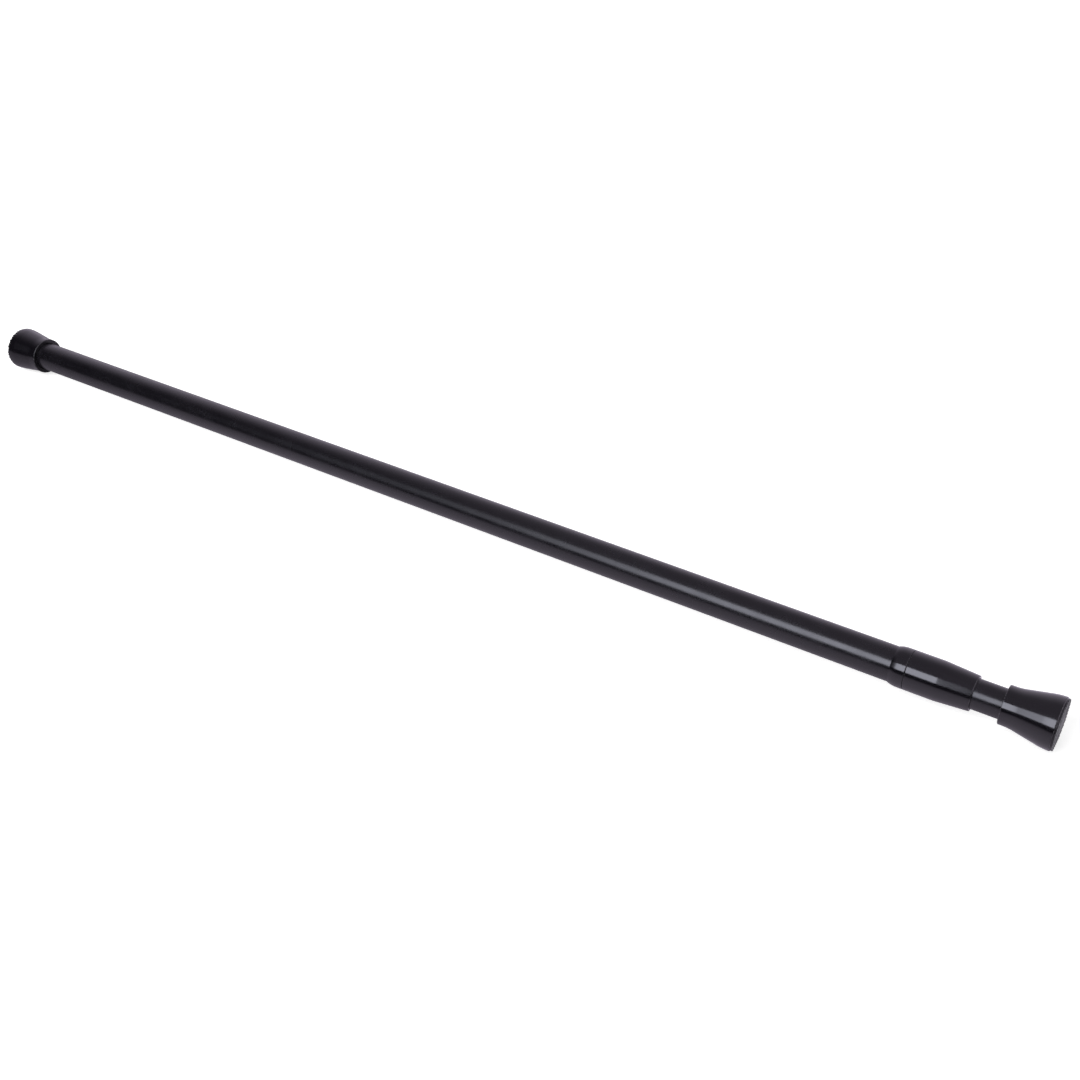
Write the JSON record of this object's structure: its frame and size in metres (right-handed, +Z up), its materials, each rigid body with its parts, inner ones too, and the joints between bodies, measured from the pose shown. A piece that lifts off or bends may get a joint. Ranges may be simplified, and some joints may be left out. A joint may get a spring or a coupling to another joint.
{
  "type": "shower curtain rod",
  "caption": "Telescopic tension rod: two steel tubes, a tapered clamping nut at their joint, and bell ends with studded rubber pads, one of them sprung.",
  "frame": {"origin": "centre of the fixed pad's wall face", "axes": "+X along the rod from the fixed end to the sprung end, +Z up with the rod level"},
  "size_m": [0.745, 0.0286, 0.0286],
  "materials": {
    "tube_paint": "semi-gloss black powder coat",
    "black_plastic": "gloss black moulding",
    "pad_rubber": "matt dark grey rubber",
    "inner_plastic": "natural moulding, hidden in use",
    "zinc_steel": "zinc plated"
  },
  "bodies": {
    "outer": {"outer_tube": "tube_paint", "fixed_end_bell": "black_plastic", "fixed_end_pad": "pad_rubber", "fixed_end_plug": "inner_plastic", "fixed_end_screw": "zinc_steel", "fixed_end_washer": "zinc_steel", "clamp_collet": "black_plastic"},
    "ring": {"clamp_ring": "inner_plastic"},
    "nut": {"clamp_nut": "black_plastic"},
    "slider": {"inner_tube": "tube_paint", "guide_bush": "inner_plastic", "spring_stop": "inner_plastic", "spring_stop_pin": "zinc_steel", "stop_washer": "zinc_steel", "tension_spring": "zinc_steel", "plunger_guide": "inner_plastic"},
    "tension_end": {"plunger": "inner_plastic", "tension_bell": "black_plastic", "tension_pad": "pad_rubber", "tension_screw": "zinc_steel", "tension_washer": "zinc_steel"}
  },
  "joints": [
    {"name": "tube_extend", "type": "slide", "parent": "outer", "child": "slider", "axis": [1, 0, 0], "range_m": [0, 0.5]},
    {"name": "tension_press", "type": "slide", "parent": "slider", "child": "tension_end", "axis": [1, 0, 0], "range_m": [-0.012, 0], "stiffness_N_per_m": 3170, "springref_m": 0.01, "deforming": ["tension_spring"]},
    {"name": "ring_advance", "type": "slide", "parent": "outer", "child": "ring", "axis": [1, 0, 0], "range_m": [0, 0.0015]},
    {"name": "nut_twist", "type": "hinge", "parent": "ring", "child": "nut", "pos_m": [0.685, 0, 0], "axis": [1, 0, 0], "range_deg": [0, 180]}
  ],
  "couplings": [
    {"joint": "ring_advance", "follows": "nut_twist", "m_per_rad": 0.000477}
  ]
}
